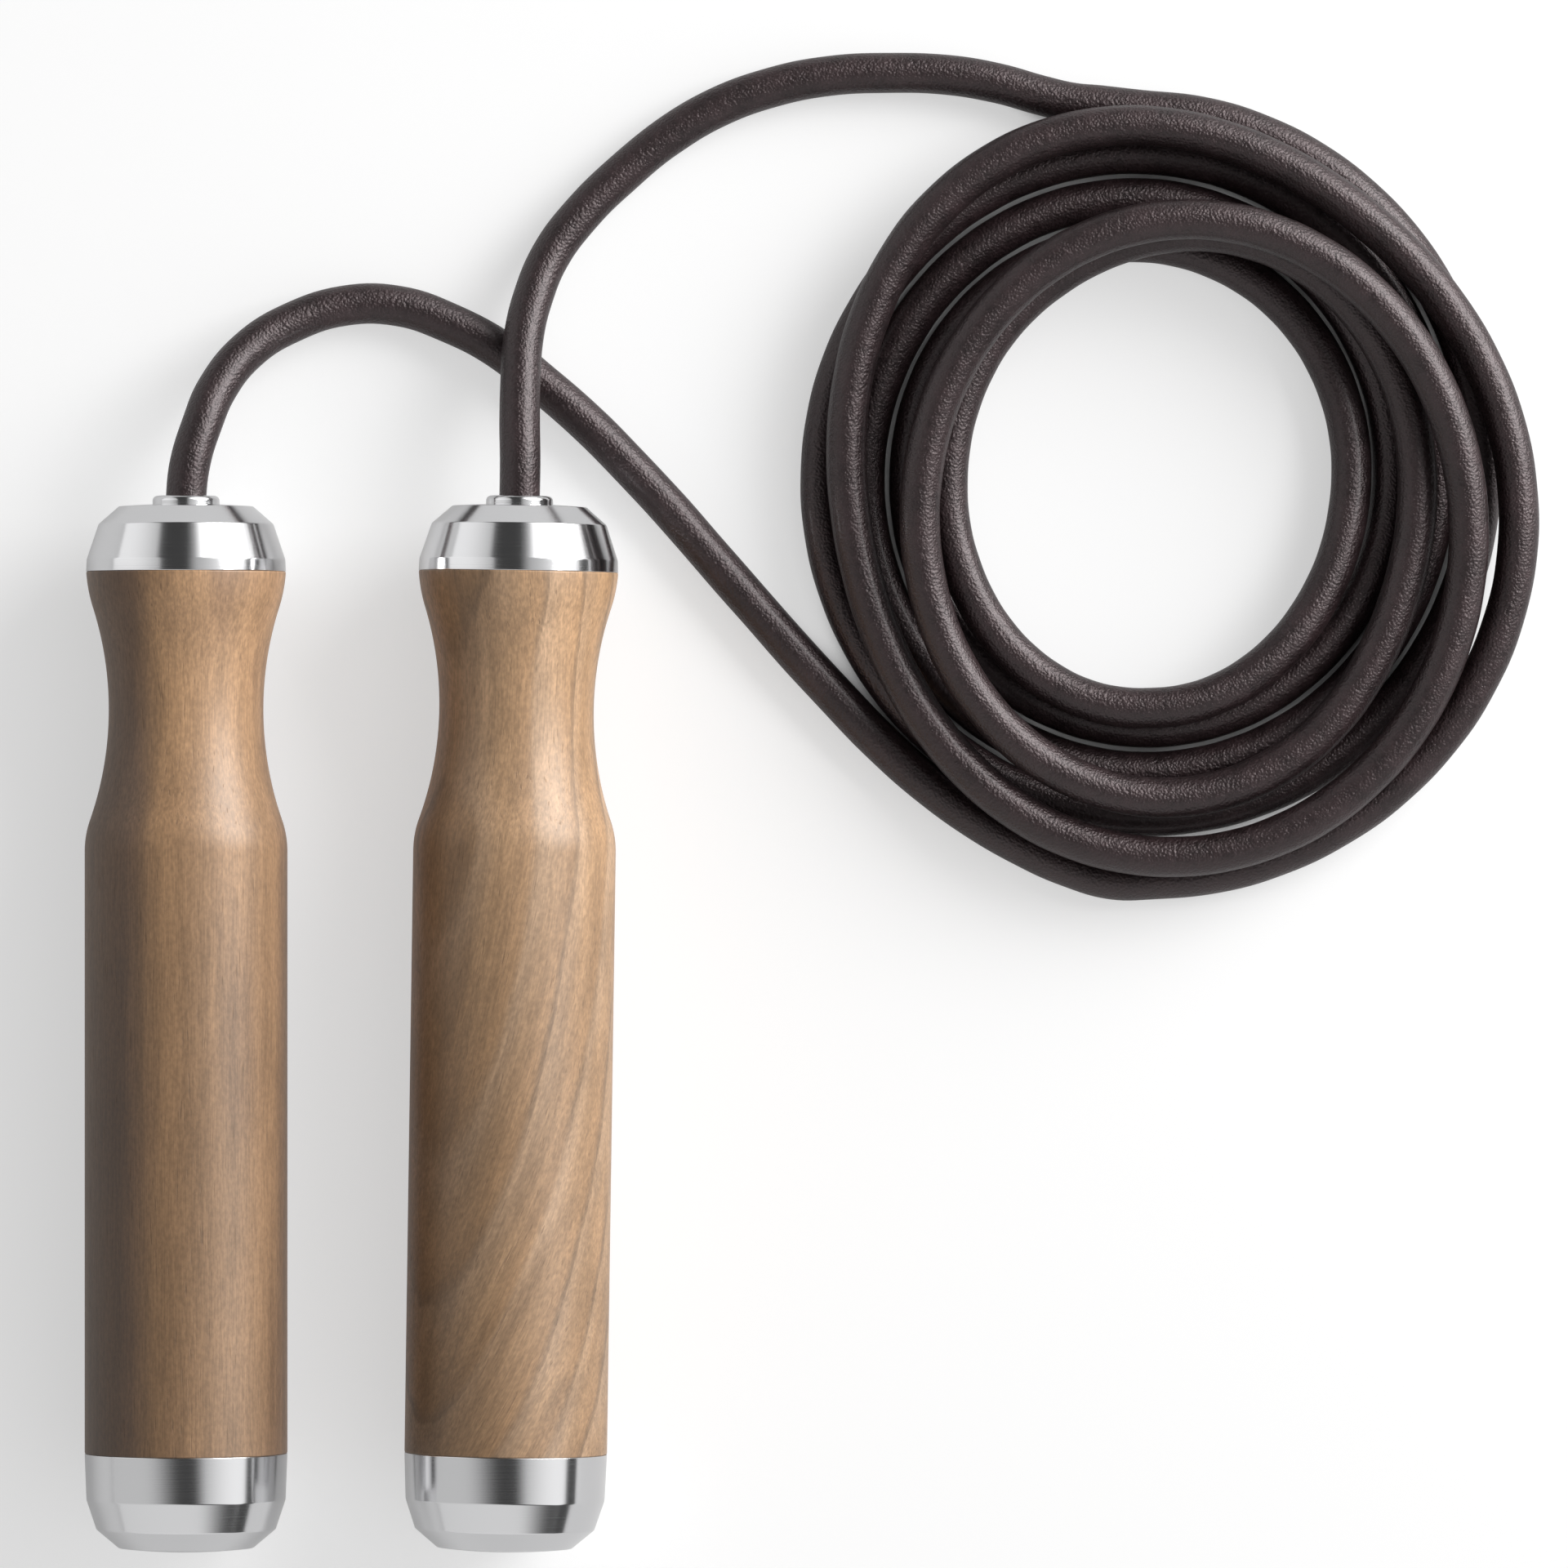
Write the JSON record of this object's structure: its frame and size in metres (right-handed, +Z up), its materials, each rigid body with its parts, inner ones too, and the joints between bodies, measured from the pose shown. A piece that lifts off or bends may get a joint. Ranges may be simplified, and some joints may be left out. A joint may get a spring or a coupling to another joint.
{
  "type": "jump rope",
  "caption": "Leather jump rope with turned wooden handles, steel end caps and ball bearing swivels, its round rope laid in a loose oval coil beside the handles.",
  "frame": {"origin": "on the table, in the middle between the two handles", "axes": "+Y along the handles towards their rope ends, +Z up from the table, +X towards the coil"},
  "size_m": [0.2508, 0.2595, 0.035],
  "materials": {
    "walnut": "oiled, satin",
    "steel": "turned and polished",
    "bearing_steel": "ground",
    "brass": "machined",
    "leather": "fine grain, waxed"
  },
  "bodies": {
    "rope": {"rope_left_lead": "leather", "rope_coil": "leather", "rope_right_lead": "leather", "left_swivel_sleeve": "steel", "left_inner_race": "bearing_steel", "left_shaft_ring": "bearing_steel", "left_rope_stop": "steel", "left_stop_screw": "bearing_steel", "right_swivel_sleeve": "steel", "right_inner_race": "bearing_steel", "right_shaft_ring": "bearing_steel", "right_rope_stop": "steel", "right_stop_screw": "bearing_steel"},
    "left_handle": {"left_grip": "walnut", "left_front_cap": "steel", "left_rear_cap": "steel", "left_front_insert": "brass", "left_rear_insert": "brass", "left_outer_race": "bearing_steel", "left_bearing_shields": "bearing_steel", "left_bore_ring": "bearing_steel"},
    "right_handle": {"right_grip": "walnut", "right_front_cap": "steel", "right_rear_cap": "steel", "right_front_insert": "brass", "right_rear_insert": "brass", "right_outer_race": "bearing_steel", "right_bearing_shields": "bearing_steel", "right_bore_ring": "bearing_steel"},
    "left_ball_set": {"left_bearing_balls": "bearing_steel", "left_ball_cage": "brass"},
    "right_ball_set": {"right_bearing_balls": "bearing_steel", "right_ball_cage": "brass"}
  },
  "joints": [
    {"name": "left_handle_spin", "type": "hinge", "parent": "rope", "child": "left_handle", "pos_m": [-0.0287, 0, 0.0175], "axis": [0, 1, 0], "continuous": true},
    {"name": "right_handle_spin", "type": "hinge", "parent": "rope", "child": "right_handle", "pos_m": [0.0276, 0, 0.0175], "axis": [0.0145, 0.9999, 0], "continuous": true},
    {"name": "left_ball_orbit", "type": "hinge", "parent": "rope", "child": "left_ball_set", "pos_m": [-0.0287, 0, 0.0175], "axis": [0, 1, 0], "continuous": true},
    {"name": "right_ball_orbit", "type": "hinge", "parent": "rope", "child": "right_ball_set", "pos_m": [0.0276, 0, 0.0175], "axis": [0.0145, 0.9999, 0], "continuous": true}
  ],
  "couplings": [
    {"joint": "left_ball_orbit", "follows": "left_handle_spin", "ratio": 0.58207},
    {"joint": "right_ball_orbit", "follows": "right_handle_spin", "ratio": 0.58207}
  ]
}
